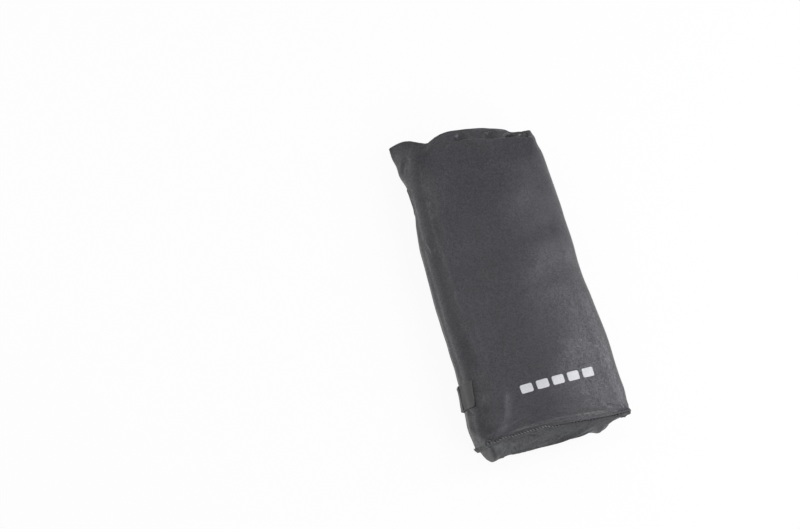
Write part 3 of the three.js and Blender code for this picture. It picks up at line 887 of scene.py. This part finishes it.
# The print: a row of plain marks low on the front
MARKS = 5
MARK_WIDTH = 12.0
MARK_HEIGHT = 9.0
MARK_PITCH = 16.0
MARKS_UP = 45.0
MARKS_ACROSS = 10.0
MARK_ROUNDING = 1.6
MARK_COLUMNS = 26
MARK_ROWS = 18
INK_OUT = 0.16
INK_IN = 0.2


def front_place(x, height):
    """The place on the front at one x."""
    run = section(height, FINE)
    front = (FINE >= 0) & (FINE <= 1)
    return np.interp(x, run[front, 0], FINE[front])


def sampler(heights, places):
    """A quick way to read points, outward directions and s off the sculpted face between a grid's points."""
    points, cloth = sculpted(heights, places)
    table = np.dstack([points, outward(heights, places), cloth[..., :1]])

    def read(height, place):
        i = np.clip(np.interp(height, heights, np.arange(len(heights))), 0, len(heights) - 1.001)
        j = np.clip(np.interp(place, places, np.arange(len(places))), 0, len(places) - 1.001)
        i0, j0 = i.astype(int), j.astype(int)
        u, v = (i - i0)[..., None], (j - j0)[..., None]
        found = (table[i0, j0] * (1 - u) + table[i0 + 1, j0] * u) * (1 - v)
        found = found + (table[i0, j0 + 1] * (1 - u) + table[i0 + 1, j0 + 1] * u) * v
        return found[..., :3], found[..., 3:6], found[..., 6]
    return read


def mark(name, node_name, middle):
    """A thin patch of ink with rounded corners that follows the cloth."""
    across = np.linspace(-MARK_WIDTH / 2, MARK_WIDTH / 2, MARK_COLUMNS)
    beyond = np.clip(np.abs(across) - (MARK_WIDTH / 2 - MARK_ROUNDING), 0, MARK_ROUNDING)
    bow = np.sqrt(np.maximum(MARK_ROUNDING ** 2 - beyond ** 2, 0.02))
    half_height = MARK_HEIGHT / 2 - MARK_ROUNDING + bow
    shares = np.linspace(-1, 1, MARK_ROWS)
    share = np.concatenate([shares, shares[::-1]])[:, None]
    raised = np.repeat([INK_OUT, -INK_IN], MARK_ROWS)[:, None, None]
    height = MARKS_UP + share * half_height
    place = np.array([front_place(middle + across, row) for row in MARKS_UP + shares * MARK_HEIGHT / 2])
    place = np.concatenate([place, place[::-1]])
    points, out, s = print_area(height, place)
    faces = strip_faces(2 * MARK_ROWS, MARK_COLUMNS)
    return make(name, points + out * raised, faces, np.dstack([s, height]), print_ink, [node_name])


print_area = sampler(np.arange(MARKS_UP - 8, MARKS_UP + 8.1, 0.8), np.linspace(0.1, 0.9, 120))
for k in range(MARKS):
    mark(f"print_{k + 1}", f"printed_mark_{k + 1}", MARKS_ACROSS + MARK_PITCH * (k - (MARKS - 1) / 2))


# The lining: a thin inner bag, closed at the base, that leans out to the cloth under the hem
lining_rows = stepped((9.5, 296.0, 5.0), (296.0, 304.0, 1.6))
lining_lean = through([(FOAM_TOP + 0.3, LINING_OUTSIDE), (LENGTH - 6.6, CLOTH + 0.3), (LENGTH, CLOTH + 0.3)],
                      np.array(lining_rows))
LINING_STEP = 4.0
LINING_THICKNESS = 0.6
LINING_RINGS = 13
lining_places = all_round(LINING_STEP)


def lining_sheet(extra):
    walls, _ = sculpted(np.array(lining_rows), lining_places, lining_lean + extra)
    ruffle = 0.5 * waves(arc(lining_rows, lining_places), np.array(lining_rows)[:, None], 41, 34)
    walls = walls - outward(lining_rows, lining_places) * np.abs(ruffle)[..., None] * (extra + 0.4)
    shares = (np.arange(LINING_RINGS + 1) / LINING_RINGS)[::-1] ** 0.8
    floor = base_rings(1.2 + extra, LINING_OUTSIDE + extra, shares, lining_places)
    return np.concatenate([floor, walls])


lining_grid = np.concatenate([lining_sheet(0.0), lining_sheet(LINING_THICKNESS)[::-1]])
lining_across, lining_up = np.meshgrid(np.arange(len(lining_places)) * LINING_STEP,
                                       np.arange(len(lining_grid)) * LINING_STEP)
lining_at = np.dstack([lining_across, lining_up])
make("inner_lining", lining_grid, ring_faces(lining_grid), lining_at, lining_cloth,
     ["lining"])


# Camera: the photograph's view, from above the left side and a little before the base
AIM = np.array([0.0, 150.0, 27.0])
LEAN_LEFT = math.radians(15.0)
LEAN_DOWN = math.radians(12.0)
ROLL = math.radians(17.2)
DISTANCE = 1500.0
PICTURE = (800.0, 529.0)
AIM_AT = (507.0, 289.0)
back = np.array([-math.sin(LEAN_LEFT) * math.cos(LEAN_DOWN), -math.sin(LEAN_DOWN),
                 math.cos(LEAN_LEFT) * math.cos(LEAN_DOWN)])
level_up = unit(np.array([0, 1.0, 0]) - back[1] * back)
level_right = np.cross(level_up, back)
right = math.cos(ROLL) * level_right - math.sin(ROLL) * level_up
up = math.sin(ROLL) * level_right + math.cos(ROLL) * level_up
middle = AIM - right * (AIM_AT[0] - PICTURE[0] / 2) + up * (AIM_AT[1] - PICTURE[1] / 2)
place = in_frame(middle + back * DISTANCE)[0]

camera_data = bpy.data.cameras.new("camera")
camera_data.sensor_fit = "HORIZONTAL"
camera_data.sensor_width = 36.0
camera_data.lens = 36.0 * DISTANCE / PICTURE[0]
camera_data.clip_start = 0.05
camera_data.clip_end = 50.0
camera = bpy.data.objects.new("camera", camera_data)
turn = np.eye(4)
turn[:3, 0], turn[:3, 1], turn[:3, 2], turn[:3, 3] = right, up, back, place
camera.matrix_world = Matrix(turn.tolist())
bpy.context.scene.collection.objects.link(camera)
bpy.context.scene.camera = camera


# Light: a large soft lamp on the right, weaker ones on the left, at the base and at the mouth, and a pale
# surround. Each lamp has a place, a width and length, a power in watts, a place that it faces and a colour.
WHITE = (1, 1, 1)
MIDDLE = (0.0, 0.0, 0.03)
LAMPS = [
    ("right_lamp", (0.93, -0.06, 0.58), (0.40, 1.9), 10.4, (0.04, 0.0, 0.03), (0.965, 0.96, 1.0)),
    ("left_lamp", (-0.66, 0.34, 0.84), (0.14, 1.5), 3.0, (-0.05, 0.15, 0.03), WHITE),
    ("left_side_lamp", (-0.92, 0.15, 0.42), (0.45, 1.1), 0.5, (-0.07, 0.05, 0.03), WHITE),
    ("base_lamp", (0.40, -0.85, 0.72), (0.5, 0.4), 4.4, MIDDLE, WHITE),
    ("mouth_lamp", (0.25, 1.2, 0.80), (0.9, 0.45), 1.7, (0.0, 0.15, 0.03), WHITE),
]
for name, at, size, power, aim, colour in LAMPS:
    data = bpy.data.lights.new(name, "AREA")
    data.shape = "RECTANGLE"
    data.size, data.size_y = size
    data.energy = power
    data.color = colour
    lamp = bpy.data.objects.new(name, data)
    lamp.location = at
    lamp.rotation_euler = (Vector(aim) - Vector(at)).to_track_quat("-Z", "Y").to_euler()
    bpy.context.scene.collection.objects.link(lamp)


def seen_by(tree, *kinds):
    """1 for the rays of these kinds, and 0 for the others."""
    rays = node(tree, "ShaderNodeLightPath")
    found = rays.outputs[kinds[0]]
    for kind in kinds[1:]:
        either = node(tree, "ShaderNodeMath", operation="MAXIMUM")
        join(tree, (found, either.inputs[0]), (rays.outputs[kind], either.inputs[1]))
        found = either.outputs[0]
    return found


world = bpy.data.worlds.new("surround")
bpy.context.scene.world = world
world.use_nodes = True
tree = world.node_tree
tree.nodes.clear()
out = node(tree, "ShaderNodeOutputWorld")
fill = node(tree, "ShaderNodeBackground")
fill.inputs["Color"].default_value = (0.95, 0.97, 1.0, 1)
fill.inputs["Strength"].default_value = 0.44
shown = node(tree, "ShaderNodeBackground")
shown.inputs["Color"].default_value = (1, 1, 1, 1)
shown.inputs["Strength"].default_value = 1.0
mix = node(tree, "ShaderNodeMixShader")
join(tree, (seen_by(tree, "Is Camera Ray", "Is Transmission Ray"), mix.inputs[0]),
     (fill.outputs[0], mix.inputs[1]), (shown.outputs[0], mix.inputs[2]), (mix.outputs[0], out.inputs[0]))

# The floor is white to the camera, and keeps a faint soft shadow
floor_mesh = bpy.data.meshes.new("floor")
FLOOR_HALF = 6.0
GLOW_SHARE = 0.93
floor_corners = [(x * FLOOR_HALF, y * FLOOR_HALF, 0) for x, y in ((-1, -1), (1, -1), (1, 1), (-1, 1))]
floor_mesh.from_pydata(floor_corners, [], [(0, 1, 2, 3)])
floor = bpy.data.objects.new("floor", floor_mesh)
bpy.context.scene.collection.objects.link(floor)
paper = bpy.data.materials.new("floor")
paper.use_nodes = True
tree = paper.node_tree
tree.nodes.clear()
out = node(tree, "ShaderNodeOutputMaterial")
matt = node(tree, "ShaderNodeBsdfDiffuse")
matt.inputs["Color"].default_value = (0.8, 0.8, 0.8, 1)
glow = node(tree, "ShaderNodeEmission")
glow.inputs["Color"].default_value = (1, 1, 1, 1)
glow.inputs["Strength"].default_value = 1.0
share = node(tree, "ShaderNodeMath", operation="MULTIPLY")
share.inputs[1].default_value = GLOW_SHARE
mix = node(tree, "ShaderNodeMixShader")
join(tree, (seen_by(tree, "Is Camera Ray", "Is Glossy Ray", "Is Transmission Ray"), share.inputs[0]),
     (share.outputs[0], mix.inputs[0]), (matt.outputs[0], mix.inputs[1]), (glow.outputs[0], mix.inputs[2]),
     (mix.outputs[0], out.inputs[0]))
floor_mesh.materials.append(paper)

bpy.context.scene.view_settings.view_transform = "Standard"

bpy.context.view_layer.update()
